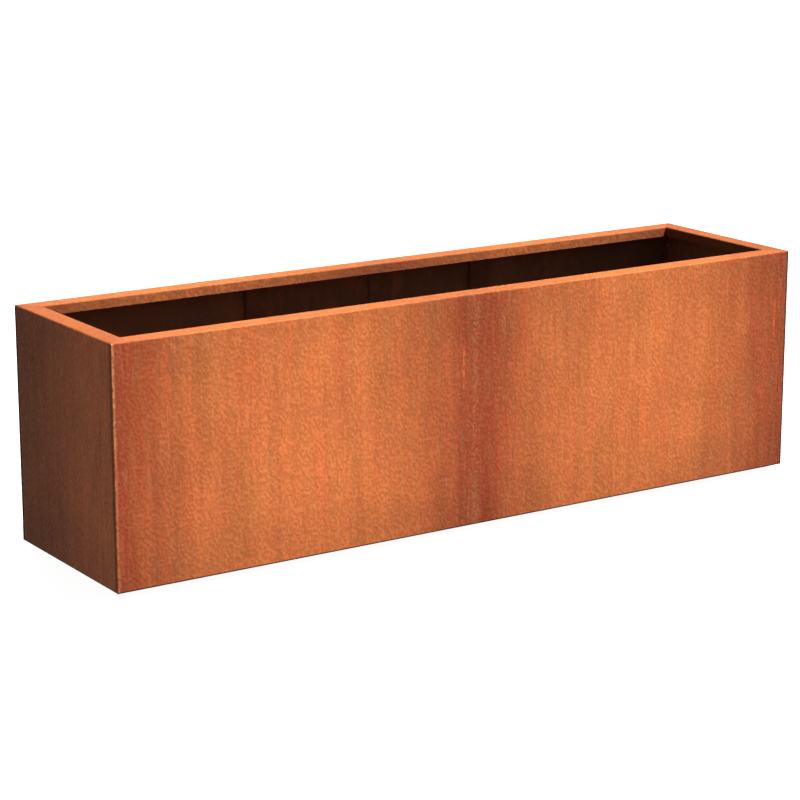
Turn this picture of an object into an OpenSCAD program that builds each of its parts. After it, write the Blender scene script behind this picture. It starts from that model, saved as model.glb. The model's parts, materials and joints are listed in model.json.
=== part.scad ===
// Long rectangular planter box folded and welded from weathering steel sheet.
// X runs along the length, Y from front to back, Z up. The origin is at the
// middle of the footprint, on the ground under the feet.

/* [Body] */
// Outside length of the box
body_l = 2000; // [1400:10:3000]
// Outside width of the box, front to back
body_w = 500; // [400:10:800]
// Height of the walls, without the feet
body_h = 585; // [400:5:900]

/* [Sheet] */
// Thickness of the wall and floor sheet
sheet_t = 2; // [1.5:0.25:4]
// Inside radius of every fold in the sheet
fold_r = 2; // [1:0.5:4]
// Radius ground onto the four upright corner edges
corner_r = 3; // [1:0.5:4]

/* [Rim] */
// Width of the flat rim folded inwards at the top of each wall
rim_w = 50; // [35:1:80]
// Depth of the lip folded down from the rim's inner edge
lip_h = 25; // [15:1:50]

/* [Floor] */
// Width of the flange folded inwards at the bottom of each wall
base_flange_w = 30; // [20:1:50]
// Gap between the edge of a floor sheet and what lies beside it
floor_gap = 1; // [0.5:0.5:3]
// Diameter of a drain hole
drain_d = 25; // [10:1:40]
// Distance of the drain holes from the centreline
drain_y = 110; // [60:5:150]

/* [Feet] */
// Height of the walls above the ground
foot_h = 15; // [14:1:40]
// Width of a foot, along the box
foot_w = 60; // [40:1:80]
// Length of a foot, across the box
foot_l = 80; // [50:1:120]
// Thickness of a foot's sheet
foot_t = 3; // [2:0.5:5]
// Distance from the outside of the walls to the nearest edge of a foot
foot_inset = 100; // [60:5:120]

/* [Stiffening channels] */
// Width of a channel's web
channel_w = 60; // [40:1:80]
// Depth of an upright wall channel, from its web's outer face to its leg edges
channel_d = 15; // [14:1:30]
// Depth of a cross channel under the floor
bearer_d = 12; // [8:1:14]
// Thickness of the channel sheet
channel_t = 2; // [1.5:0.25:3]

/* [Cross ties] */
// Distance from the top of the rim down to the top of a tie
tie_drop = 200; // [80:5:300]
// Width of the tie's flat bar
tie_w = 40; // [30:1:60]
// Thickness of the tie's flat bar
tie_t = 4; // [3:0.5:8]
// Length of the tab bent down at each end of a tie
tie_tab = 40; // [30:1:60]

/* [Fasteners] */
// Nominal diameter of a tie bolt
bolt_d = 8; // [6:1:8]
// Outside diameter of a washer and of a threaded insert's flange
washer_d = 16; // [14:1:20]
// Thickness of a washer
washer_t = 1.6; // [1:0.2:2.5]

/* [Welds] */
// Width of the upright butt seams at mid-length of the long walls
seam_w = 3; // [2:0.5:6]
// Leg length of the fillet beads in the inside corners
bead_leg = 4; // [3:0.5:6]

/* [Hidden] */
$fn = 64;

STEEL_OUT = "#b5602f";  // rusted outer sheet
STEEL_IN = "#4a3024";   // darker steel that stays inside or underneath
WELD = "#9a5a38";       // dressed weld metal
ZINC = "#a8a9a6";       // plated fasteners

// Folds and heights of the wall section, measured from the ground
fold_out = fold_r + sheet_t;
wall_z0 = foot_h;
wall_z1 = wall_z0 + body_h;
floor_z0 = wall_z0 + sheet_t;
floor_z1 = floor_z0 + sheet_t;

// Inside faces of the walls, and the outline of the two floor sheets
inner_x = body_l / 2 - sheet_t;
inner_y = body_w / 2 - sheet_t;
floor_x = inner_x - fold_r - floor_gap;
floor_y = inner_y - fold_r - floor_gap;

// Upright channels part each long wall into three equal bays
bay_l = (2 * inner_x - 2 * channel_w) / 3;
channel_x = (bay_l + channel_w) / 2;
channel_web_y = inner_y - channel_d;
weld_gap = 1;
upright_z0 = wall_z0 + max(2 * sheet_t, fold_out);
upright_z1 = wall_z1 - fold_out - weld_gap;

// Feet stand in four rows across the box, the inner rows halfway to a channel
foot_x = [-(body_l / 2 - foot_inset - foot_w / 2), -channel_x / 2,
          channel_x / 2, body_l / 2 - foot_inset - foot_w / 2];
foot_y = body_w / 2 - foot_inset - foot_l / 2;

// Drain holes lie midway between what carries each floor sheet
drain_x = [channel_x / 4, channel_x * 3 / 4, (channel_x + foot_x[3]) / 2];

// Bolted end of a tie, from the channel's web towards the middle of the box
bolt_clearance_d = bolt_d + 1;
washer_bore_d = bolt_d + 0.4;
insert_flange_t = 1.2;
insert_d = bolt_d + 3;
insert_hole_d = insert_d + 0.2;
insert_bore_d = bolt_d + 0.1;
insert_wall_gap = 1.5;
insert_l = channel_d - insert_wall_gap;
bolt_tip_recess = 0.3;
tie_y = channel_web_y - insert_flange_t;
washer_y = tie_y - tie_t - washer_t;
tie_z1 = wall_z1 - tie_drop;
bolt_z = tie_z1 - tie_t - (tie_tab - tie_t) / 2;
bolt_l = washer_t + tie_t + insert_flange_t + insert_l - bolt_tip_recess;
head_af = 1.625 * bolt_d;
head_h = 0.66 * bolt_d;

SIDES = ["left", "right"];
FACES = ["front", "rear"];

function side_sign(i) = 2 * i - 1;

// ---- Sheet sections, drawn flat ----

// A quarter of a folded corner, centred on its bend axis and filling the first quadrant
module fold_quarter(r, t) {
    intersection() {
        difference() {
            circle(r + t);
            circle(r);
        }
        square(r + t);
    }
}

// Wall section: x inwards from the outer face, y up from the bottom edge
module wall_section() {
    translate([0, fold_out]) square([sheet_t, body_h - 2 * fold_out]);
    translate([fold_out, fold_out]) rotate(180) fold_quarter(fold_r, sheet_t);
    translate([fold_out, 0]) square([base_flange_w - fold_out, sheet_t]);
    translate([fold_out, body_h - fold_out]) rotate(90) fold_quarter(fold_r, sheet_t);
    translate([fold_out, body_h - sheet_t]) square([rim_w - 2 * fold_out, sheet_t]);
    translate([rim_w - fold_out, body_h - fold_out]) fold_quarter(fold_r, sheet_t);
    translate([rim_w - sheet_t, body_h - lip_h]) square([sheet_t, lip_h - fold_out]);
}

// Channel section: the web lies along x from -w/2 to w/2 and the legs stand up to y = d
module channel_section(w, d, t, r) {
    out = r + t;
    translate([-w / 2 + out, 0]) square([w - 2 * out, t]);
    for (side = [0, 1]) mirror([side, 0]) {
        translate([w / 2 - out, out]) rotate(-90) fold_quarter(r, t);
        translate([w / 2 - t, out]) square([t, d - out]);
    }
}

// Tie section: y up to its flat bar's top at 0, x from the middle out to the tabs
module tie_section() {
    out = tie_t + tie_t / 2;
    translate([-tie_y + out, -tie_t]) square([2 * (tie_y - out), tie_t]);
    for (side = [0, 1]) mirror([side, 0]) {
        translate([tie_y - out, -out]) fold_quarter(tie_t / 2, tie_t);
        translate([tie_y - tie_t, -tie_tab]) square([tie_t, tie_tab - out]);
    }
}

// ---- Walls ----

// A wall of the given length, centred on x, its outer face on the y = 0 plane
module wall_bar(length) {
    rotate([90, 0, 90]) linear_extrude(length, center = true) wall_section();
}

// Ground-down outside of an upright corner, at the front right of the box
module corner_grind() {
    linear_extrude(wall_z1 + 1) difference() {
        translate([body_l / 2 - corner_r, -body_w / 2 - 1]) square(corner_r + 1);
        translate([body_l / 2 - corner_r, -body_w / 2 + corner_r]) circle(corner_r);
    }
}

// The right half of the front wall, mitred into the end wall
module long_wall() {
    sheet_l = (body_l - seam_w) / 2;
    color(STEEL_OUT) difference() {
        intersection() {
            translate([(sheet_l + seam_w) / 2, -body_w / 2, wall_z0]) wall_bar(sheet_l);
            linear_extrude(wall_z1 + 1) polygon([
                [0, -body_w / 2], [body_l / 2, -body_w / 2],
                [(body_l - body_w) / 2, 0], [0, 0]
            ]);
        }
        corner_grind();
    }
}

// The end wall at +x, mitred into both long walls
module end_wall() {
    color(STEEL_OUT) difference() {
        intersection() {
            translate([body_l / 2, 0, wall_z0]) rotate(90) wall_bar(body_w);
            linear_extrude(wall_z1 + 1) polygon([
                [body_l / 2, -body_w / 2], [body_l / 2, body_w / 2],
                [(body_l - body_w) / 2, 0]
            ]);
        }
        for (face = [0, 1]) mirror([0, face, 0]) corner_grind();
    }
}

// Butt weld between the two front sheets, dressed flush with the whole section
module seam_weld() {
    color(WELD) translate([0, -body_w / 2, wall_z0]) wall_bar(seam_w);
}

// Fillet beads up the four inside corners
module inside_corner_welds() {
    color(WELD) for (sx = [0, 1], sy = [0, 1]) mirror([sx, 0, 0]) mirror([0, sy, 0])
        translate([inner_x, inner_y, upright_z0])
            linear_extrude(upright_z1 - upright_z0)
                polygon([[0, 0], [-bead_leg, 0], [0, -bead_leg]]);
}

// ---- Floor and feet ----

// Right-hand floor sheet, resting on the bottom flanges
module floor_sheet() {
    color(STEEL_IN) translate([0, 0, floor_z0]) linear_extrude(sheet_t) difference() {
        translate([floor_gap / 2, -floor_y]) square([floor_x - floor_gap / 2, 2 * floor_y]);
        for (x = drain_x, y = [-drain_y, drain_y]) translate([x, y]) circle(d = drain_d);
    }
}

// Cross channel under the floor, between the front and rear flanges
module floor_bearer(x) {
    length = body_w - 2 * (base_flange_w + floor_gap);
    color(STEEL_IN) translate([x, 0, floor_z0 - bearer_d])
        rotate([90, 0, 0]) linear_extrude(length, center = true)
            channel_section(channel_w, bearer_d, channel_t, fold_r);
}

// Short channel under the floor, standing on its web
module foot(x, y) {
    color(STEEL_IN) translate([x, y, 0])
        rotate([90, 0, 0]) linear_extrude(foot_l, center = true)
            channel_section(foot_w, floor_z0, foot_t, foot_t);
}

// ---- Stiffening ----

// Upright channel welded to the rear wall by its leg edges, drilled for a tie
module stiffener(x) {
    color(STEEL_IN) difference() {
        translate([x, channel_web_y, upright_z0]) linear_extrude(upright_z1 - upright_z0)
            channel_section(channel_w, channel_d, channel_t, fold_r);
        translate([x, channel_web_y - 1, bolt_z]) rotate([-90, 0, 0])
            cylinder(d = insert_hole_d, h = channel_t + 2);
    }
}

// Flat bar across the box, its bent-down tabs drilled for the bolts
module cross_tie(x) {
    color(STEEL_IN) difference() {
        translate([x, 0, tie_z1]) rotate([90, 0, 90])
            linear_extrude(tie_w, center = true) tie_section();
        translate([x, 0, bolt_z]) rotate([90, 0, 0])
            cylinder(d = bolt_clearance_d, h = 2 * tie_y + 2, center = true);
    }
}

// Puts a fastener drawn along +z, its seat at z = 0, at all four tie ends
module at_tie_ends(seat_y) {
    for (sx = [-1, 1], sy = [0, 1]) mirror([0, sy, 0])
        translate([sx * channel_x, seat_y, bolt_z]) rotate([-90, 0, 0]) children();
}

// Hexagon bolts, head towards the middle of the box
module tie_bolts() {
    color(ZINC) at_tie_ends(washer_y) {
        translate([0, 0, -head_h]) cylinder(d = head_af / cos(30), h = head_h, $fn = 6);
        cylinder(d = bolt_d, h = bolt_l);
    }
}

// Flat washers under the bolt heads
module tie_washers() {
    color(ZINC) at_tie_ends(washer_y) difference() {
        cylinder(d = washer_d, h = washer_t);
        translate([0, 0, -1]) cylinder(d = washer_bore_d, h = washer_t + 2);
    }
}

// Threaded inserts clenched in the channel webs
module tie_threaded_inserts() {
    color(ZINC) at_tie_ends(tie_y) difference() {
        union() {
            cylinder(d = washer_d, h = insert_flange_t);
            cylinder(d = insert_d, h = insert_flange_t + insert_l);
        }
        translate([0, 0, -1]) cylinder(d = insert_bore_d, h = insert_l + insert_flange_t + 2);
    }
}

// ---- Assembly ----

for (f = [0, 1], s = [0, 1])
    mirror([0, f, 0]) mirror([1 - s, 0, 0]) long_wall();

for (s = [0, 1])
    mirror([1 - s, 0, 0]) end_wall();

for (f = [0, 1])
    mirror([0, f, 0]) seam_weld();

inside_corner_welds();

for (s = [0, 1])
    mirror([1 - s, 0, 0]) floor_sheet();

floor_bearer(-channel_x);  // floor_bearer_left
floor_bearer(0);  // floor_bearer_centre
floor_bearer(channel_x);  // floor_bearer_right

for (f = [0, 1], s = [0, 1])
    mirror([0, 1 - f, 0]) stiffener(side_sign(s) * channel_x);

for (s = [0, 1])
    cross_tie(side_sign(s) * channel_x);

tie_bolts();
tie_washers();
tie_threaded_inserts();

for (f = [0, 1], i = [0:3])
    foot(foot_x[i], side_sign(f) * foot_y);
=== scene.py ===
import json
import math

import bmesh
import bpy
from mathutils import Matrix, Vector


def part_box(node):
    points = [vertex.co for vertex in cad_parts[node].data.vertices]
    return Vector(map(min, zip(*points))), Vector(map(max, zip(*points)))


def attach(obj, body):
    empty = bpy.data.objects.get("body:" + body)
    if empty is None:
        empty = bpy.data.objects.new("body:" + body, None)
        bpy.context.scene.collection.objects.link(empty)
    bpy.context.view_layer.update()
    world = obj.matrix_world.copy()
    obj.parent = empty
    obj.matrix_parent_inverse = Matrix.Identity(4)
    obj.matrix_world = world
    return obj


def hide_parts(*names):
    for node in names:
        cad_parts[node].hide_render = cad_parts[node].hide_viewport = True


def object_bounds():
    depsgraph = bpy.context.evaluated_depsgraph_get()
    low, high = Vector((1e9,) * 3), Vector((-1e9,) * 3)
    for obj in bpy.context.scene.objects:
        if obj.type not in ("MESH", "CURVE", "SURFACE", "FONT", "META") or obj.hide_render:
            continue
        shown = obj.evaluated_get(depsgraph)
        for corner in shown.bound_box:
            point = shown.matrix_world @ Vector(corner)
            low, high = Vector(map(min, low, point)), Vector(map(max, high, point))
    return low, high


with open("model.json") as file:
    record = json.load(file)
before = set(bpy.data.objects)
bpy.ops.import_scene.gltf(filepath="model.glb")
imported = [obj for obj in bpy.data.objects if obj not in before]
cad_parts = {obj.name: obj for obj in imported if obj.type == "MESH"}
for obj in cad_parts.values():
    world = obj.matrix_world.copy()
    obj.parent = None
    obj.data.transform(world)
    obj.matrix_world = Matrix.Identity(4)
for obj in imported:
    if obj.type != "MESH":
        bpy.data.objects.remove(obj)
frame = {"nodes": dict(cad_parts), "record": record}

# ---------------------------------------------------------------- sizes from the frame, in metres

BOX_LO, BOX_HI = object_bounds()
WALL_LO, WALL_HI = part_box("front_wall_left")
FLOOR_LO, FLOOR_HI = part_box("floor_sheet_left")
STIFFENER_LO, STIFFENER_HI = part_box("rear_stiffener_right")

HALF_L = BOX_HI.x
HALF_W = BOX_HI.y
TOP = BOX_HI.z
BASE = WALL_LO.z                  # lower edge of the walls
RIM = WALL_HI.y - WALL_LO.y       # width of the inturned rim
SHEET = FLOOR_LO.z - BASE         # thickness of the wall sheet
FLOOR_TOP = FLOOR_HI.z
INNER_X = HALF_L - SHEET          # inner faces of the walls
INNER_Y = HALF_W - SHEET
UPRIGHT_TOP = STIFFENER_HI.z      # top of the upright channels, just under the rim

# ---------------------------------------------------------------- view and light

# The camera looks from the front left, slightly down, along a line through TARGET
AZIMUTH = -33.446                 # degrees from looking along +Y, anticlockwise from above
ELEVATION = 14.191
DISTANCE = 6.400
TARGET = Vector((-0.0348, 0.0474, 0.2745))
LENS = 113.03                     # millimetres, as is the sensor's width
SENSOR = 36.0
VIEW_REACH = 200.0                # how far the camera sees, past the backdrop

# The key light comes over the front right corner, from high up
KEY_DIRECTION = Vector((-0.42, 0.30, -0.98))
KEY_STRENGTH = 8.6
KEY_ANGLE = 6.0                   # degrees across, which softens the shadows
# What the floor in front throws back at the front wall
BOUNCE_DIRECTION = Vector((-0.20, 0.95, 0.10))
BOUNCE_STRENGTH = 0.65
BOUNCE_ANGLE = 10.0
# A soft fill from behind lights the rear wall, which the key leaves in shade
FILL_DIRECTION = Vector((-0.30, -0.90, -0.22))
FILL_STRENGTH = 1.8
FILL_ANGLE = 20.0
SKY_ABOVE = 0.15                  # soft light from overhead
SKY_BELOW = 0.44                  # and what a pale floor throws back from underneath
HORIZON = 0.1                     # the one turns into the other this far above and below the horizon

PAPER_GLOW = 0.95                 # light that comes through the paper, so that it shows white
SHADE_EDGE = -0.08                # the floor's painted shadow starts this far inside the box's outline
SHADE_FULL = -0.14                # and is dark this far inside it
FLOOR_CORE = 3.0                  # radius of the disc in the floor's middle
BACKDROP_RADIUS = 25.0
BACKDROP_HEIGHT = 15.0
BACKDROP_CURVE = 6.0
CURVE_STEPS = 12
STAGE_SIDES = 64

# ---------------------------------------------------------------- colours (linear)

# Rust on the sheets, from a sheet's middle to its ends
RUST_BRIGHT = (0.60, 0.158, 0.044)
RUST_MID = (0.53, 0.137, 0.039)
RUST_DARK = (0.45, 0.110, 0.032)
RUST_RED = (0.34, 0.066, 0.021)
RUST_EDGE = (0.29, 0.050, 0.017)
# Marks and streaks on it
RUST_BROWN = (0.27, 0.095, 0.033)
RUST_PALE = (0.74, 0.34, 0.16)
RUST_GREY = (0.46, 0.22, 0.10)
# Painted shade: the browner tone of the end walls
RUST_SHADE_BROWN = (0.24, 0.115, 0.065)
RUST_WORN_HIGHLIGHT = (0.74, 0.27, 0.10)
RUST_FRESH = (0.66, 0.145, 0.030)
# Painted shade, near black, for the dark lines at edges and corners and on the end walls' lips
PAINTED_SHADE_DARK = (0.035, 0.014, 0.009)
# Tints, which multiply the colour under them
NO_TINT = (1.0, 1.0, 1.0)
# Painted shade on the rim's top face, against the strong light from above
RIM_SHADE_TINT = (0.78, 0.78, 0.66)
REDDER = (1.03, 0.94, 0.95)
OLIVE = (0.96, 1.06, 1.03)
# Inner faces of the sheets, darkened as painted shade, and the steel inside and under the box
INNER_SHADE_DARK = (0.185, 0.092, 0.053)
INNER_SHADE_BROWN = (0.250, 0.118, 0.064)
INNER_RUST = (0.420, 0.140, 0.048)
MILL_DARK = (0.115, 0.048, 0.026)
MILL_BROWN = (0.175, 0.070, 0.034)
MILL_RUST = (0.330, 0.105, 0.036)
# Weld metal, zinc plate and the stage's paper
WELD_BROWN = (0.15, 0.055, 0.025)
WELD_BLUE = (0.055, 0.050, 0.055)
ZINC = (0.42, 0.42, 0.40)
ZINC_DULL = (0.24, 0.24, 0.23)
PAPER = (0.34, 0.34, 0.34)
PAPER_PALE = (0.36, 0.36, 0.36)
PAPER_SHADE = (0.025, 0.022, 0.020)
PAPER_LIGHT = (1.0, 1.0, 1.0, 1.0)
SKY_COLOUR = (1.0, 1.0, 1.0, 1.0)


# ---------------------------------------------------------------- shader helper

class Shader:
    """One material. Each method adds nodes to it and gives back the socket that holds their result."""

    def __init__(self, name):
        self.material = bpy.data.materials.new(name)
        self.material.use_nodes = True
        self.tree = self.material.node_tree
        self.surface = self.tree.nodes["Principled BSDF"]
        self.point = self.add("ShaderNodeTexCoord").outputs["Object"]
        self.x, self.y, self.z = self.add("ShaderNodeSeparateXYZ", {"Vector": self.point}).outputs

    def add(self, kind, inputs=None, **settings):
        """Adds a node; inputs maps a socket's name or number to a value or to another node's socket."""
        node = self.tree.nodes.new(kind)
        for name, value in settings.items():
            setattr(node, name, value)
        for name, value in (inputs or {}).items():
            if isinstance(value, bpy.types.NodeSocket):
                self.tree.links.new(value, node.inputs[name])
            else:
                node.inputs[name].default_value = value
        return node

    def math(self, operation, a, b=0.0):
        return self.add("ShaderNodeMath", {0: a, 1: b}, operation=operation).outputs[0]

    def product(self, *values):
        result = values[0]
        for value in values[1:]:
            result = self.math("MULTIPLY", result, value)
        return result

    def noise(self, scale, detail=3.0, roughness=0.5, stretch=(1, 1, 1), distortion=0.0, place=None):
        """Noise from 0 to 1, scale features to the metre, drawn out along an axis whose stretch is small."""
        place = self.add("ShaderNodeVectorMath", {0: place or self.point, 1: stretch}, operation="MULTIPLY")
        inputs = {"Vector": place.outputs[0], "Scale": scale, "Detail": detail,
                  "Roughness": roughness, "Distortion": distortion}
        return self.add("ShaderNodeTexNoise", inputs).outputs["Fac"]

    def level(self, value, low, high, to_low=0.0, to_high=1.0):
        """Takes value from low to high to the range to_low to to_high, smoothly, and holds it there."""
        inputs = {"Value": value, "From Min": low, "From Max": high, "To Min": to_low, "To Max": to_high}
        return self.add("ShaderNodeMapRange", inputs, interpolation_type="SMOOTHSTEP").outputs[0]

    def ramp(self, value, stops):
        """Colour along stops, each a place from 0 to 1 and its colour."""
        node = self.add("ShaderNodeValToRGB", {"Fac": value})
        elements = node.color_ramp.elements
        while len(elements) < len(stops):
            elements.new(0.5)
        for element, (place, colour) in zip(elements, stops):
            element.position = place
            element.color = (*colour, 1.0)
        return node.outputs["Color"]

    def mix(self, amount, a, b):
        """Colour a where amount is 0 and colour b where it is 1."""
        node = self.add("ShaderNodeMix", {"Factor": amount}, data_type="RGBA")
        # A Mix node keeps its two colours in sockets 6 and 7, and the mixed one in output 2
        for socket, value in zip((node.inputs[6], node.inputs[7]), (a, b)):
            if isinstance(value, bpy.types.NodeSocket):
                self.tree.links.new(value, socket)
            else:
                socket.default_value = (*value, 1.0)
        return node.outputs[2]

    def tint(self, colour, factors):
        """Multiplies the colour by factors, channel by channel."""
        node = self.add("ShaderNodeVectorMath", {0: colour, 1: factors}, operation="MULTIPLY")
        return node.outputs[0]

    def brighten(self, colour, factor):
        """Multiplies all of the colour by one factor."""
        node = self.add("ShaderNodeVectorMath", {0: colour, "Scale": factor}, operation="SCALE")
        return node.outputs[0]

    def bump(self, *layers):
        """Normal from layers of relief, each a height from 0 to 1 and its depth in metres."""
        normal = None
        for height, depth in layers:
            inputs = {"Height": height, "Distance": depth, "Strength": 1.0}
            if normal is not None:
                inputs["Normal"] = normal
            normal = self.add("ShaderNodeBump", inputs).outputs[0]
        return normal

    def finish(self, colour, roughness, normal, metallic=0.0, specular=0.5):
        sockets = self.surface.inputs
        self.tree.links.new(colour, sockets["Base Color"])
        self.tree.links.new(roughness, sockets["Roughness"])
        self.tree.links.new(normal, sockets["Normal"])
        sockets["Metallic"].default_value = metallic
        sockets["Specular IOR Level"].default_value = specular
        return self.material


# ---------------------------------------------------------------- corten sheets

# Noises on the sheets, in features to the metre
CLOUDS = 5.0
WANDER = 16.0
BLOOM = 22.0
BANDS = 26.0
HUES = 48.0
LIP_MOTTLE = 60.0
BROWN_STREAKS = 80.0
WORN_HIGHLIGHT_PATCHES = 90.0
PALE_STREAKS = 95.0
RUN_BREAKS = 120.0
GRAIN = 140.0
SPECKS = 190.0
FINE_GRAIN = 420.0

# How much of a colour shows where it shows most
END_SHADE_BROWN_AMOUNT = 0.28
PALE_AMOUNT = 0.08
SPECK_AMOUNT = 0.30
BOTTOM_SHADE_AMOUNT = 0.90
MITRE_AMOUNT = 0.60
LIP_BROWN_AMOUNT = 0.80
LIP_SHADE_AMOUNT = 0.50
BLOOM_AMOUNT = 0.60

# Colour of the rust by its age, from 0 to 1
RUST_BY_AGE = [(0.10, RUST_BRIGHT), (0.45, RUST_MID), (0.68, RUST_DARK), (0.88, RUST_RED), (1.0, RUST_EDGE)]
WANDER_REACH = 0.35               # how far the noise moves the age
RIM_AGE = 0.55                    # the rim of a long wall ages this much as fast as the wall
END_AGE_LOW = 0.42                # an end wall's middle
END_AGE_HIGH = 0.62               # and its upright edges
END_RIM_LIGHT = 0.85              # brightness of an end wall's rim
END_FRONT_LIGHT = 1.30            # painted light on its front edge
END_REAR_LIGHT = 0.62             # and painted shade from END_REAR to its rear edge
END_REAR = 0.6 * HALF_W

# Places and widths of the marks, in metres
INNER_FACE = 0.75 * SHEET         # a face further in than this is an inner one
LIP_FRONT = RIM - 0.5 * SHEET     # but past this it is the lip's front, which the painted shade leaves out
LIP_START = RIM - 1.5 * SHEET     # from here inwards, it is the lip
RIM_FACE = TOP - 0.001            # what lies above this height is the rim's top face
MITRE_LOW = TOP - 0.03            # the mitre shows above this height
MITRE_WIDTH = (0.0004, 0.0016)
BOTTOM_SHADE_HEIGHT = (0.002, 0.006)      # painted shade darkens the bottom edge up to here
CORNER_SHADE_WIDTH = (0.008, 0.013)     # painted shade on the end walls, beside their upright corners
WORN_HIGHLIGHT_WIDTH = (0.0033, 0.011)      # the pale front and rear edges of the left corners, rubbed and with a painted highlight
RIGHT_EDGE_WIDTH = (0.004, 0.009)  # painted shade on the edges of the long walls at the right corners
SPECK_OFFSET = 0.010              # the pale specks keep this far to the left of the butt seam
SPECK_WIDTH = (0.002, 0.016)
RUN_FROM_EDGE = 0.043             # fresh rust has run down this far from a front sheet's right edge
RUN_WIDTH = (0.0015, 0.0050)
RUN_FOOT = (0.352, 0.402)         # heights over which the run fades at its foot
RUN_HEAD = (0.458, 0.478)         # and at its head
LEAN = 0.08                       # how far the grain leans, in metres to the metre of height
LONG_GRAIN_DEPTH = 0.0008
END_GRAIN_DEPTH = 0.0006
FINE_DEPTH = 0.0001


class Sheet(Shader):
    """A material that knows its place on a wall sheet: along it, up it, and in from its edges and outside."""

    def __init__(self, name, run, start, length):
        super().__init__(name)
        self.long_wall = run == "x"
        along = self.x if self.long_wall else self.y
        from_start = self.math("DIVIDE", self.math("SUBTRACT", along, start), length)
        from_end_to_end = self.math("SUBTRACT", self.math("MULTIPLY", from_start, 2.0), 1.0)
        self.from_middle = self.math("ABSOLUTE", from_end_to_end)
        self.height = self.math("DIVIDE", self.math("SUBTRACT", self.z, BASE), TOP - BASE)
        self.end_gap = self.math("SUBTRACT", HALF_L, self.math("ABSOLUTE", self.x))
        self.side_gap = self.math("SUBTRACT", HALF_W, self.math("ABSOLUTE", self.y))
        self.depth = self.side_gap if self.long_wall else self.end_gap
        self.on_rim = self.math("GREATER_THAN", self.z, RIM_FACE)
        self.on_wall = self.math("SUBTRACT", 1.0, self.on_rim)
        self.clouds = self.noise(CLOUDS, detail=4.0, roughness=0.6)

    def within(self, distance, width, most=1.0):
        """Amount that is most at a small distance, and fades to 0 over width, a near and a far limit."""
        return self.level(distance, width[0], width[1], most, 0.0)


def aged_rust(s):
    """Orange in a long sheet's middle and dark red at its ends, in soft clouds and upright bands, with
    painted light and shade on the end walls and painted shade towards the bottom.
    """
    wander = s.noise(WANDER, detail=3.0, stretch=(1, 1, 0.12))
    shift = s.math("MULTIPLY", s.math("SUBTRACT", wander, 0.5), WANDER_REACH)
    if s.long_wall:
        age = s.product(s.from_middle, s.level(s.on_rim, 0.0, 1.0, 1.0, RIM_AGE))
    else:
        age = s.level(s.from_middle, 0.0, 1.0, END_AGE_LOW, END_AGE_HIGH)
    tone = s.ramp(s.math("ADD", age, shift), RUST_BY_AGE)
    if not s.long_wall:
        # Painted shade on the end walls: a browner tone that matches their colour in shade, and a brightness
        # that is painted light at the front edge and painted shade towards the rear
        tone = s.mix(s.product(s.on_wall, END_SHADE_BROWN_AMOUNT), tone, RUST_SHADE_BROWN)
        light = s.level(s.y, -HALF_W, END_REAR, END_FRONT_LIGHT, END_REAR_LIGHT)
        wall_light = s.product(light, s.on_wall)
        rim_light = s.product(s.on_rim, END_RIM_LIGHT)
        tone = s.brighten(tone, s.math("MAXIMUM", wall_light, rim_light))
    tone = s.brighten(tone, s.level(s.clouds, 0.3, 0.7, 0.93, 1.07))
    bands = s.noise(BANDS, detail=3.0, roughness=0.6, stretch=(1, 1, 0.07))
    tone = s.brighten(tone, s.level(bands, 0.3, 0.7, 0.91, 1.07))
    # Darker towards the bottom, painted shade near the floor, and a little darker towards the top
    tone = s.brighten(tone, s.level(s.height, 0.0, 0.35, 0.81, 1.0))
    return s.brighten(tone, s.level(s.height, 0.65, 1.0, 1.0, 0.93))


def add_streaks(s, tone):
    """Upright streaks where water ran: red and olive, brown towards the sheet's ends, and fine pale ones."""
    hues = s.noise(HUES, detail=3.0, roughness=0.6, stretch=(1, 1, 0.06))
    tone = s.tint(tone, s.ramp(hues, [(0.36, REDDER), (0.64, OLIVE)]))
    towards_end = s.level(s.from_middle, 0.30, 0.95, 0.25, 0.62)
    brown = s.level(s.noise(BROWN_STREAKS, detail=3.0, stretch=(1, 1, 0.08)), 0.48, 0.72)
    tone = s.mix(s.product(brown, towards_end), tone, RUST_BROWN)
    pale = s.level(s.noise(PALE_STREAKS, detail=2.0, stretch=(1, 1, 0.09)), 0.55, 0.75)
    return s.mix(s.product(pale, PALE_AMOUNT), tone, RUST_PALE)


def rust_grain(s):
    """The rust's grain, a skin of small raised worms that lean a little, and the fine grain on them."""
    lean = s.math("MULTIPLY", s.z, LEAN)
    leaning_x = s.math("ADD", s.x, lean)
    leaning_y = s.math("ADD", s.y, lean)
    leaning = s.add("ShaderNodeCombineXYZ", {0: leaning_x, 1: leaning_y, 2: s.z}).outputs[0]
    grain = s.noise(GRAIN, detail=0.0, stretch=(1, 1, 0.8), distortion=0.3, place=leaning)
    return grain, s.noise(FINE_GRAIN, detail=2.0, roughness=0.6)


def add_grain(s, tone, grain, fine):
    """Lightens the grain's crests and darkens its pits, less so on the end walls."""
    pit, crest = (0.93, 1.16) if s.long_wall else (0.96, 1.09)
    tone = s.brighten(tone, s.level(grain, 0.36, 0.74, pit, crest))
    return s.brighten(tone, s.level(fine, 0.2, 0.8, 0.98, 1.02))


def add_specks(s, tone):
    """Pale specks, thin all over and thick along the butt seam of a long wall."""
    speck = s.noise(SPECKS, detail=1.0)
    speckled = s.product(s.level(speck, 0.68, 0.76), SPECK_AMOUNT)
    if s.long_wall:
        from_seam = s.math("ABSOLUTE", s.math("ADD", s.x, SPECK_OFFSET))
        near_seam = s.within(from_seam, SPECK_WIDTH)
        by_seam = s.product(s.level(speck, 0.42, 0.62), near_seam, SPECK_AMOUNT)
        speckled = s.math("MAXIMUM", speckled, by_seam)
    return s.mix(speckled, tone, RUST_GREY)


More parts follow.
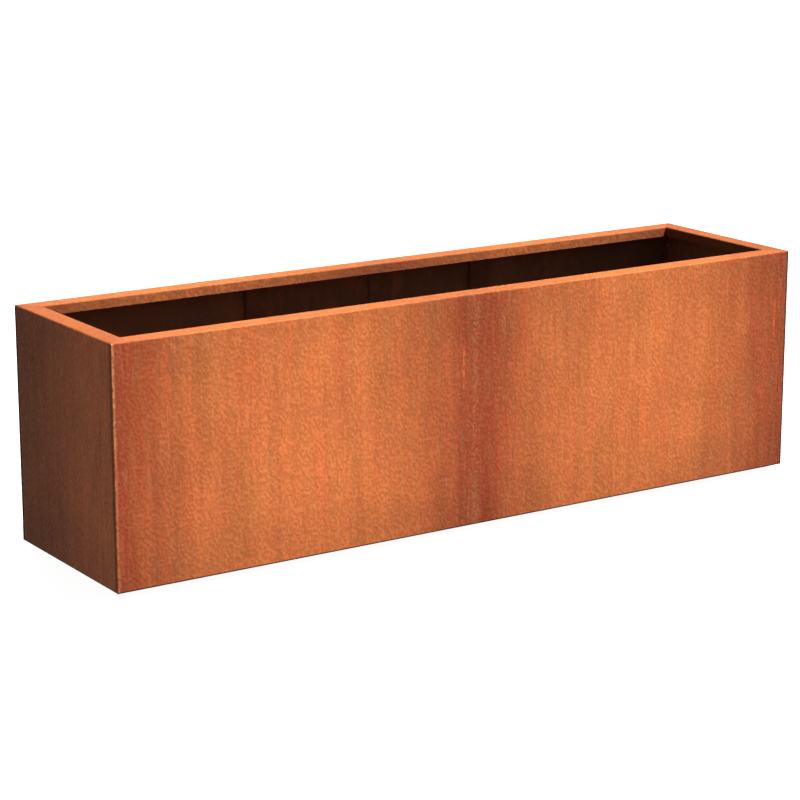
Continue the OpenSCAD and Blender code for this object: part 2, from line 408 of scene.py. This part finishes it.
def add_corner_marks(s, tone):
    """A long wall is pale at its left corner, partly rubbed and partly a painted highlight, and has painted
    shade at its right one. An end wall has painted shade beside its upright corners, more so at the rear."""
    if s.long_wall:
        # The left corner's pale edge is partly wear and partly a painted highlight on the rounded corner
        patches = s.level(s.noise(WORN_HIGHLIGHT_PATCHES, detail=3.0), 0.38, 0.62, 0.35, 1.0)
        edge = s.within(s.math("MAXIMUM", s.end_gap, s.side_gap), WORN_HIGHLIGHT_WIDTH)
        worn_highlight = s.product(edge, patches, s.level(s.height, 0.25, 0.75, 0.30, 0.70))
        on_left = s.math("LESS_THAN", s.x, 0.0)
        tone = s.mix(s.product(worn_highlight, s.on_wall, on_left), tone, RUST_WORN_HIGHLIGHT)
        # Painted shade along the right corner's edge
        right_edge = s.within(s.math("SUBTRACT", HALF_L, s.x), RIGHT_EDGE_WIDTH, 0.85)
        return s.mix(s.product(right_edge, s.on_wall), tone, PAINTED_SHADE_DARK)
    # Painted shade beside the end wall's upright corners, more so at the rear
    corner_shade = s.product(s.within(s.side_gap, CORNER_SHADE_WIDTH), s.level(s.y, -HALF_W, HALF_W, 0.55, 0.95))
    return s.mix(s.product(corner_shade, s.on_wall), tone, PAINTED_SHADE_DARK)


def add_fresh_run(s, tone, right_end):
    """A short broken run of fresh rust, near the right end of a front sheet."""
    aside = s.math("ABSOLUTE", s.math("SUBTRACT", s.x, right_end - RUN_FROM_EDGE))
    upright = s.product(s.level(s.z, *RUN_FOOT), s.within(s.z, RUN_HEAD))
    breaks = s.level(s.noise(RUN_BREAKS, detail=2.0, stretch=(1, 1, 0.5)), 0.36, 0.56, 0.10, 0.62)
    return s.mix(s.product(s.within(aside, RUN_WIDTH), upright, breaks), tone, RUST_FRESH)


def add_edges(s, tone):
    """A flat rim tinted darker as painted shade, with its mitres; a painted shade line along the bottom edge;
    and a lip mottled brown, partly as painted shade, with more painted shade on the end walls' lips.
    """
    # Painted shade: the rim's top face is tinted darker
    tone = s.tint(tone, s.mix(s.on_rim, NO_TINT, RIM_SHADE_TINT))
    # Painted shade: a dark line along the bottom edge
    tone = s.mix(s.within(s.math("SUBTRACT", s.z, BASE), BOTTOM_SHADE_HEIGHT, BOTTOM_SHADE_AMOUNT), tone, PAINTED_SHADE_DARK)
    from_mitre = s.math("ABSOLUTE", s.math("SUBTRACT", s.end_gap, s.side_gap))
    by_rim = s.math("GREATER_THAN", s.z, MITRE_LOW)
    tone = s.mix(s.product(s.within(from_mitre, MITRE_WIDTH), by_rim, MITRE_AMOUNT), tone, RUST_EDGE)
    # The lip is mottled brown, which also darkens it as painted shade
    on_lip = s.product(s.math("GREATER_THAN", s.depth, LIP_START), s.math("LESS_THAN", s.z, RIM_FACE))
    mottle = s.level(s.noise(LIP_MOTTLE, detail=3.0, roughness=0.6), 0.38, 0.62, 0.20, 0.85)
    tone = s.mix(s.product(on_lip, mottle, LIP_BROWN_AMOUNT), tone, RUST_BROWN)
    # Painted shade on the end walls' lips
    if not s.long_wall:
        tone = s.mix(s.product(on_lip, LIP_SHADE_AMOUNT), tone, PAINTED_SHADE_DARK)
    return tone


def add_inside_shade(s, tone):
    """Painted shade: the faces that look into the box or lie under its rim are dark, with rust blooming
    through.
    """
    inside = s.product(
        s.math("GREATER_THAN", s.depth, INNER_FACE),
        s.math("LESS_THAN", s.depth, LIP_FRONT),
        s.math("GREATER_THAN", s.z, BASE + INNER_FACE),
        s.math("LESS_THAN", s.z, TOP - INNER_FACE),
    )
    bloom = s.level(s.noise(BLOOM, detail=5.0, roughness=0.65, stretch=(1, 1, 0.4)), 0.50, 0.72)
    # The dark tone here is painted shade
    scale = s.mix(s.level(s.clouds, 0.35, 0.65), INNER_SHADE_DARK, INNER_SHADE_BROWN)
    scale = s.mix(s.product(bloom, BLOOM_AMOUNT), scale, INNER_RUST)
    return s.mix(inside, tone, scale)


def corten(name, run, start, length, fresh_run=False):
    """Rust on a wall sheet that runs along x or y from start, for length."""
    s = Sheet(name, run, start, length)
    grain, fine = rust_grain(s)
    tone = aged_rust(s)
    tone = add_streaks(s, tone)
    tone = add_grain(s, tone, grain, fine)
    tone = add_specks(s, tone)
    tone = add_corner_marks(s, tone)
    if fresh_run:
        tone = add_fresh_run(s, tone, start + length)
    tone = add_edges(s, tone)
    tone = add_inside_shade(s, tone)
    roughness = s.level(grain, 0.3, 0.7, 0.80, 0.62)
    grain_depth = LONG_GRAIN_DEPTH if s.long_wall else END_GRAIN_DEPTH
    normal = s.bump((grain, grain_depth), (fine, FINE_DEPTH))
    return s.finish(tone, roughness, normal, specular=0.2)


# ---------------------------------------------------------------- other materials

def inner_steel(name):
    """Dark mill scale with rust breaking through, on the pieces inside and under the box."""
    s = Shader(name)
    clouds = s.noise(9.0, detail=4.0, roughness=0.6)
    bloom = s.level(s.noise(30.0, detail=5.0, roughness=0.7), 0.52, 0.70)
    grain = s.noise(300.0, detail=3.0, roughness=0.6)
    tone = s.mix(s.level(clouds, 0.35, 0.65), MILL_DARK, MILL_BROWN)
    tone = s.mix(s.product(bloom, 0.6), tone, MILL_RUST)
    tone = s.brighten(tone, s.level(grain, 0.2, 0.8, 0.85, 1.15))
    roughness = s.level(bloom, 0.0, 1.0, 0.55, 0.85)
    return s.finish(tone, roughness, s.bump((bloom, 0.0003), (grain, 0.00008)), specular=0.35)


def weld_metal(name):
    """Brown weld metal, still blue-grey in places from the heat."""
    s = Shader(name)
    heat = s.level(s.noise(45.0, detail=2.0), 0.45, 0.62)
    grain = s.noise(700.0, detail=2.0, roughness=0.6)
    tone = s.mix(heat, WELD_BROWN, WELD_BLUE)
    tone = s.mix(s.product(s.level(s.noise(90.0, detail=4.0), 0.55, 0.7), 0.7), tone, INNER_RUST)
    roughness = s.level(heat, 0.0, 1.0, 0.62, 0.42)
    return s.finish(tone, roughness, s.bump((grain, 0.00006)), metallic=0.35)


def zinc(name):
    """Bright zinc plate, dulled and spotted with rust."""
    s = Shader(name)
    dull = s.level(s.noise(160.0, detail=3.0), 0.4, 0.65)
    spots = s.level(s.noise(240.0, detail=4.0, roughness=0.7), 0.62, 0.70)
    grain = s.noise(1500.0, detail=2.0)
    tone = s.mix(dull, ZINC, ZINC_DULL)
    tone = s.mix(s.product(spots, 0.8), tone, INNER_RUST)
    roughness = s.level(dull, 0.0, 1.0, 0.32, 0.55)
    return s.finish(tone, roughness, s.bump((grain, 0.00003)), metallic=0.85)


def pale_studio(name):
    """The floor and backdrop: pale matt paper, lit from behind, with a painted shadow where the box stands
    over it.
    """
    s = Shader(name)
    past_x = s.math("SUBTRACT", s.math("ABSOLUTE", s.x), HALF_L)
    past_y = s.math("SUBTRACT", s.math("ABSOLUTE", s.y), HALF_W)
    in_open = s.level(s.math("MAXIMUM", past_x, past_y), SHADE_FULL, SHADE_EDGE)
    mottle = s.noise(2.0, detail=2.0)
    tone = s.mix(mottle, PAPER, PAPER_PALE)
    tone = s.mix(in_open, PAPER_SHADE, tone)
    s.surface.inputs["Emission Color"].default_value = PAPER_LIGHT
    s.tree.links.new(s.math("MULTIPLY", in_open, PAPER_GLOW), s.surface.inputs["Emission Strength"])
    roughness = s.level(mottle, 0.0, 1.0, 0.9, 0.95)
    return s.finish(tone, roughness, s.bump((mottle, 0.0001)), specular=0.1)


def dress(node, material):
    """Gives a CAD node's object its material."""
    slots = frame["nodes"][node].data.materials
    slots.clear()
    slots.append(material)


def dress_cad_nodes():
    """Gives every CAD node its material, each sheet and seam its own, so that the rust fits its place."""
    for face in ("front", "rear"):
        fresh_run = face == "front"
        for side in ("left", "right"):
            node = f"{face}_wall_{side}"
            lo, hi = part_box(node)
            dress(node, corten(node, "x", lo.x, hi.x - lo.x, fresh_run))
        lo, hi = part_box(f"{face}_wall_left")
        dress(f"{face}_seam_weld", corten(f"{face}_seam", "x", lo.x, hi.x - lo.x, fresh_run))
    for side in ("left", "right"):
        node = f"{side}_end_wall"
        lo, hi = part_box(node)
        dress(node, corten(node, "y", lo.y, hi.y - lo.y))
    inside = inner_steel("inner_steel")
    plated = zinc("zinc_plate")
    for entry in frame["record"]["subparts"]:
        if entry["material_slot"] == "inner_steel":
            dress(entry["node"], inside)
        elif entry["material_slot"] == "plated_fasteners":
            dress(entry["node"], plated)


# ---------------------------------------------------------------- pieces made here

def new_piece(name, mesh, material):
    """Makes a piece from a bmesh, with its material, and lets it ride on the box."""
    bmesh.ops.recalc_face_normals(mesh, faces=mesh.faces)
    data = bpy.data.meshes.new(name)
    mesh.to_mesh(data)
    mesh.free()
    data.materials.append(material)
    piece = bpy.data.objects.new(name, data)
    bpy.context.scene.collection.objects.link(piece)
    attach(piece, "root")
    return piece


def close_tube(mesh, rings):
    """Joins rings of vertices into a closed tube."""
    count = len(rings[0])
    for near, far in zip(rings, rings[1:]):
        for i in range(count):
            j = (i + 1) % count
            face = mesh.faces.new((near[i], near[j], far[j], far[i]))
            face.smooth = True
    mesh.faces.new(rings[0][::-1])
    mesh.faces.new(rings[-1])


X, Y, Z = Vector((1, 0, 0)), Vector((0, 1, 0)), Vector((0, 0, 1))

RIPPLE_PITCH = 0.0032
RIPPLE_STEPS = 4
RIPPLE_BOW = 0.45                 # how far a ripple bows across the bead, in pitches
FILLET_RIPPLES = (0.03, 0.05)     # how much the ripples change a fillet's width and height
FLAT_RIPPLES = (0.04, 0.18)       # and a flat bead's
FILLET_END = 1.5                  # a fillet rounds off at its ends over this many legs
BEAD_POINTS = 7
BEAD_SINK = 0.0002                # how far a bead reaches into the faces it joins
END_FULLNESS = 0.04               # what is left of a bead at its very ends, squared

# Leg of each fillet, and its crown's height as a share of the leg
CORNER_LEG = 0.0045
CORNER_CROWN = 0.06
FLOOR_LEG = 0.006
FLOOR_CROWN = 0.06
STITCH_LEG = 0.004
STITCH_CROWN = 0.08

# Half the width of each flat bead, and its height
SEAM_HALF_WIDTH = 0.0032
SEAM_HEIGHT = 0.0009
SEAM_CLEARANCE = 0.008            # the seam's root bead starts this far over the floor
JOINT_HALF_WIDTH = 0.0035
JOINT_HEIGHT = 0.0010
JOINT_INSET = 0.006               # the floor joint's bead ends this far from the floor's edges

# Number and length of the stitches on each stiffener's leg, floor bay, floor end, bearer and foot
STIFFENER_STITCHES = (5, 0.04)
BAY_STITCHES = (4, 0.05)
END_STITCHES = (3, 0.05)
BEARER_STITCHES = (3, 0.04)
FOOT_STITCHES = (1, 0.06)


def fullness(from_end, reach):
    """How full a bead is: it rounds off over reach at its ends."""
    return math.sqrt(max(END_FULLNESS, 1 - (1 - min(1, from_end / reach)) ** 2))


def bead(mesh, start, end, side_a, side_b, leg, bulge):
    """A rippled weld bead from start to end, between the faces that run off along side_a and side_b.
    Its crown stands bulge times leg over a flat fillet, towards where the corner opens."""
    run = end - start
    length = run.length
    out = (side_a + side_b).normalized()
    wider, higher = FILLET_RIPPLES
    steps = round(length / RIPPLE_PITCH * RIPPLE_STEPS)
    rings = []
    for i in range(steps + 1):
        place = length * i / steps
        from_end = min(place, length - place)
        fade = fullness(from_end, FILLET_END * leg)
        ring = [start + run * (i / steps) - out * BEAD_SINK]
        for k in range(BEAD_POINTS):
            w = k / (BEAD_POINTS - 1)
            crown = math.sin(math.pi * w)
            wave = math.cos(2 * math.pi * (place / RIPPLE_PITCH + RIPPLE_BOW * crown))
            size = leg * fade * (1 + wider * wave)
            point = ring[0] + side_a * size * (1 - w) + side_b * size * w
            ring.append(point + out * leg * fade * crown * (bulge + higher * wave))
        rings.append([mesh.verts.new(p) for p in ring])
    close_tube(mesh, rings)


def flat_bead(mesh, start, end, side, out, half_width, crown_height):
    """A rippled butt-weld bead that lies on a flat face, from start to end."""
    run = end - start
    length = run.length
    wider, higher = FLAT_RIPPLES
    steps = round(length / RIPPLE_PITCH * RIPPLE_STEPS)
    rings = []
    for i in range(steps + 1):
        place = length * i / steps
        from_end = min(place, length - place)
        fade = fullness(from_end, half_width)
        base = start + run * (i / steps) - out * BEAD_SINK
        ring = []
        for k in range(BEAD_POINTS):
            w = 2 * k / (BEAD_POINTS - 1) - 1
            wave = math.cos(2 * math.pi * (place / RIPPLE_PITCH - RIPPLE_BOW * w * w))
            size = half_width * fade * (1 + wider * wave)
            rise = BEAD_SINK + crown_height * fade * (1 - w * w) * (1 + higher * wave)
            ring.append(base + side * size * w + out * (rise if abs(w) < 1 else 0))
        rings.append([mesh.verts.new(p) for p in ring])
    close_tube(mesh, rings)


def stitches(low, high, count_and_length):
    """The ends of a row of stitches, spread evenly from low to high."""
    count, length = count_and_length
    pitch = (high - low) / count
    middles = [low + pitch * (i + 0.5) for i in range(count)]
    return [(middle - length / 2, middle + length / 2) for middle in middles]


def corner_beads(material):
    """Continuous fillets up the four inside corners, in place of the CAD's plain ones."""
    mesh = bmesh.new()
    lo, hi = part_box("inside_corner_welds")
    for sx in (-1, 1):
        for sy in (-1, 1):
            foot = Vector((sx * INNER_X, sy * INNER_Y, lo.z))
            top = Vector((foot.x, foot.y, hi.z))
            bead(mesh, foot, top, -sx * X, -sy * Y, CORNER_LEG, CORNER_CROWN)
    piece = new_piece("corner_weld_beads", mesh, material)
    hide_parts("inside_corner_welds")


def seam_root_beads(material):
    """The root side of the butt seams, on the inner faces of the long walls."""
    mesh = bmesh.new()
    for sy in (-1, 1):
        foot = Vector((0, sy * INNER_Y, FLOOR_TOP + SEAM_CLEARANCE))
        top = Vector((0, sy * INNER_Y, UPRIGHT_TOP))
        flat_bead(mesh, foot, top, X, -sy * Y, SEAM_HALF_WIDTH, SEAM_HEIGHT)
    new_piece("seam_root_beads", mesh, material)


def stiffener_stitches(material):
    """Short fillets along both legs of each upright channel."""
    mesh = bmesh.new()
    for face, sy in (("front", -1), ("rear", 1)):
        for side in ("left", "right"):
            lo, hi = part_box(f"{face}_stiffener_{side}")
            for edge, away in ((lo.x, -X), (hi.x, X)):
                for z0, z1 in stitches(lo.z, hi.z, STIFFENER_STITCHES):
                    start = Vector((edge, sy * INNER_Y, z0))
                    end = Vector((edge, sy * INNER_Y, z1))
                    bead(mesh, start, end, away, -sy * Y, STITCH_LEG, STITCH_CROWN)
    new_piece("stiffener_weld_stitches", mesh, material)


def floor_stitches(material):
    """Short fillets between the floor sheets and the walls, and the bead over the floor's joint."""
    mesh = bmesh.new()
    bays = [(-INNER_X, -STIFFENER_HI.x), (-STIFFENER_LO.x, STIFFENER_LO.x), (STIFFENER_HI.x, INNER_X)]
    for low, high in bays:
        for x0, x1 in stitches(low, high, BAY_STITCHES):
            for sy in (-1, 1):
                start = Vector((x0, sy * INNER_Y, FLOOR_TOP))
                end = Vector((x1, sy * INNER_Y, FLOOR_TOP))
                bead(mesh, start, end, -sy * Y, Z, FLOOR_LEG, FLOOR_CROWN)
    for y0, y1 in stitches(-INNER_Y, INNER_Y, END_STITCHES):
        for sx in (-1, 1):
            start = Vector((sx * INNER_X, y0, FLOOR_TOP))
            end = Vector((sx * INNER_X, y1, FLOOR_TOP))
            bead(mesh, start, end, -sx * X, Z, FLOOR_LEG, FLOOR_CROWN)
    start = Vector((0, FLOOR_LO.y + JOINT_INSET, FLOOR_TOP))
    end = Vector((0, FLOOR_HI.y - JOINT_INSET, FLOOR_TOP))
    flat_bead(mesh, start, end, X, Z, JOINT_HALF_WIDTH, JOINT_HEIGHT)
    new_piece("floor_weld_stitches", mesh, material)


def underside_stitches(material):
    """Short fillets between the floor sheets and the bearers and feet under them."""
    mesh = bmesh.new()
    carriers = [(f"floor_bearer_{place}", BEARER_STITCHES) for place in ("left", "centre", "right")]
    carriers += [(f"foot_{face}_{i}", FOOT_STITCHES) for face in ("front", "rear") for i in (1, 2, 3, 4)]
    for node, row in carriers:
        lo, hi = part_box(node)
        for edge, away in ((lo.x, -X), (hi.x, X)):
            for y0, y1 in stitches(lo.y, hi.y, row):
                start = Vector((edge, y0, hi.z))
                end = Vector((edge, y1, hi.z))
                bead(mesh, start, end, away, -Z, STITCH_LEG, STITCH_CROWN)
    new_piece("underside_weld_stitches", mesh, material)


# ---------------------------------------------------------------- bolts

HEAD_POINTS = 48
SHANK_POINTS = 32
THREAD_PITCH = 0.00125
THREAD_DEPTH = 0.0007
THREAD_STEPS = 6
FLATS_TO_SHANK = 1.625            # width across the head's flats, over the shank's diameter
TURNED_RADIUS = 0.475             # radius of the head's flat end, over the width across its flats
CHAMFER = math.radians(30)
POINT_TAPER = 0.6
SHARP_ANGLE = math.radians(25)    # edges that turn more than this are shaded sharp


def quadrant_box(node, sx, sy):
    """Corners of the part of a CAD node that lies on the sx side in X and the sy side in Y."""
    points = [v.co for v in frame["nodes"][node].data.vertices if v.co.x * sx > 0 and v.co.y * sy > 0]
    low = Vector([min(p[i] for p in points) for i in range(3)])
    high = Vector([max(p[i] for p in points) for i in range(3)])
    return low, high


def bolt_head(mesh, place, flats, height):
    """A hexagon head with chamfered corners. place takes a radius, an angle and a distance down the shank."""
    turned = TURNED_RADIUS * flats
    foot, shoulder, crown = [], [], []
    for i in range(HEAD_POINTS):
        angle = 2 * math.pi * i / HEAD_POINTS
        to_flat = (angle % (math.pi / 3)) - math.pi / 6
        radius = flats / 2 / math.cos(to_flat)
        drop = max(0.0, radius - turned) * math.tan(CHAMFER)
        foot.append(mesh.verts.new(place(radius, angle, 0)))
        shoulder.append(mesh.verts.new(place(radius, angle, -(height - drop))))
        crown.append(mesh.verts.new(place(turned, angle, -height)))
    close_tube(mesh, [foot, shoulder, crown])


def bolt_shank(mesh, place, radius, length):
    """A threaded shank on place, its last thread turned down to a point."""
    rings = []
    steps = round(length / THREAD_PITCH * THREAD_STEPS)
    for i in range(steps + 1):
        down = length * i / steps
        ring = []
        for k in range(SHANK_POINTS):
            angle = 2 * math.pi * k / SHANK_POINTS
            turn = (down / THREAD_PITCH - k / SHANK_POINTS) % 1
            groove = THREAD_DEPTH * (1 - abs(2 * turn - 1))
            point = max(0.0, down - (length - THREAD_PITCH))
            ring.append(mesh.verts.new(place(radius - max(groove, POINT_TAPER * point), angle, down)))
        rings.append(ring)
    close_tube(mesh, rings)


def tie_bolts(material):
    """Hexagon bolts with chamfered heads and cut threads, in place of the CAD's plain ones."""
    mesh = bmesh.new()
    for sx in (-1, 1):
        for sy in (-1, 1):
            low, high = quadrant_box("tie_bolts", sx, sy)
            washer_low, washer_high = quadrant_box("tie_washers", sx, sy)
            seat = washer_low.y if sy > 0 else washer_high.y
            head_end = low.y if sy > 0 else high.y
            tip = high.y if sy > 0 else low.y
            middle = (low + high) / 2

            def place(radius, angle, down, sy=sy, seat=seat, middle=middle):
                x = middle.x + radius * math.sin(angle)
                z = middle.z + radius * math.cos(angle)
                return Vector((x, seat + sy * down, z))

            flats = high.z - low.z
            shank_radius = flats / FLATS_TO_SHANK / 2
            bolt_head(mesh, place, flats, abs(seat - head_end))
            bolt_shank(mesh, place, shank_radius, abs(tip - seat))
    for edge in mesh.edges:
        if len(edge.link_faces) == 2 and edge.calc_face_angle(0) > SHARP_ANGLE:
            edge.smooth = False
    piece = new_piece("tie_bolts_detailed", mesh, material)
    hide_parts("tie_bolts")


# ---------------------------------------------------------------- stage

def surface_of_revolution(name, profile, material):
    """A sheet of the stage, turned about the Z axis from profile, a list of radius and height. A level one is
    closed in the middle."""
    mesh = bmesh.new()
    rings = []
    for radius, height in profile:
        turns = [2 * math.pi * i / STAGE_SIDES for i in range(STAGE_SIDES)]
        rings.append([mesh.verts.new((radius * math.cos(t), radius * math.sin(t), height)) for t in turns])
    for near, far in zip(rings, rings[1:]):
        for i in range(STAGE_SIDES):
            j = (i + 1) % STAGE_SIDES
            mesh.faces.new((near[i], near[j], far[j], far[i])).smooth = True
    if profile[0][1] == profile[-1][1]:
        mesh.faces.new(rings[0])
    data = bpy.data.meshes.new(name)
    mesh.to_mesh(data)
    mesh.free()
    data.materials.append(material)
    sheet = bpy.data.objects.new(name, data)
    bpy.context.scene.collection.objects.link(sheet)
    return sheet


def stage():
    """A pale floor, and a backdrop that curves up all round it. The sky stands in for their light."""
    paper = pale_studio("studio_paper")
    floor_edge = BACKDROP_RADIUS - BACKDROP_CURVE
    floor = surface_of_revolution("studio_floor", [(FLOOR_CORE, 0.0), (floor_edge, 0.0)], paper)
    sweep = [(floor_edge, 0.0)]
    for i in range(1, CURVE_STEPS + 1):
        angle = math.pi / 2 * i / CURVE_STEPS
        sweep.append((floor_edge + BACKDROP_CURVE * math.sin(angle), BACKDROP_CURVE * (1 - math.cos(angle))))
    sweep.append((BACKDROP_RADIUS, BACKDROP_HEIGHT))
    backdrop = surface_of_revolution("studio_backdrop", sweep, paper)
    for sheet in (floor, backdrop):
        sheet.visible_diffuse = False
        sheet.visible_glossy = False
        sheet.visible_shadow = False


def sun(name, direction, strength, angle, glints=True):
    """A sun lamp that shines along direction. One without glints doesn't show in shiny surfaces."""
    data = bpy.data.lights.new(name, "SUN")
    data.energy = strength
    data.angle = math.radians(angle)
    lamp = bpy.data.objects.new(name, data)
    lamp.rotation_euler = direction.to_track_quat("-Z", "Y").to_euler()
    lamp.visible_glossy = glints
    bpy.context.scene.collection.objects.link(lamp)


def lights():
    """Three suns, and a white sky that is brighter below the horizon."""
    sun("key", KEY_DIRECTION, KEY_STRENGTH, KEY_ANGLE)
    sun("bounce", BOUNCE_DIRECTION, BOUNCE_STRENGTH, BOUNCE_ANGLE, glints=False)
    sun("fill", FILL_DIRECTION, FILL_STRENGTH, FILL_ANGLE, glints=False)
    world = bpy.data.worlds.new("sky")
    world.use_nodes = True
    nodes, links = world.node_tree.nodes, world.node_tree.links
    direction = nodes.new("ShaderNodeSeparateXYZ")
    strength = nodes.new("ShaderNodeMapRange")
    levels = {"From Min": -HORIZON, "From Max": HORIZON, "To Min": SKY_BELOW, "To Max": SKY_ABOVE}
    for name, value in levels.items():
        strength.inputs[name].default_value = value
    links.new(nodes.new("ShaderNodeTexCoord").outputs["Generated"], direction.inputs[0])
    links.new(direction.outputs["Z"], strength.inputs["Value"])
    links.new(strength.outputs[0], nodes["Background"].inputs["Strength"])
    nodes["Background"].inputs["Color"].default_value = SKY_COLOUR
    bpy.context.scene.world = world


def camera():
    azimuth, elevation = math.radians(AZIMUTH), math.radians(ELEVATION)
    forward = Vector((-math.sin(azimuth) * math.cos(elevation),
                      math.cos(azimuth) * math.cos(elevation),
                      -math.sin(elevation)))
    data = bpy.data.cameras.new("camera")
    data.lens = LENS
    data.sensor_width = SENSOR
    data.clip_end = VIEW_REACH
    view = bpy.data.objects.new("camera", data)
    view.location = TARGET - forward * DISTANCE
    view.rotation_euler = (math.pi / 2 - elevation, 0.0, azimuth)
    bpy.context.scene.collection.objects.link(view)
    bpy.context.scene.camera = view


# ---------------------------------------------------------------- build

camera()
lights()
stage()
bpy.context.scene.view_settings.view_transform = "Standard"

dress_cad_nodes()
weld = weld_metal("weld_metal")
corner_beads(weld)
seam_root_beads(weld)
stiffener_stitches(weld)
floor_stitches(weld)
underside_stitches(weld)
tie_bolts(zinc("zinc_plate_bolts"))
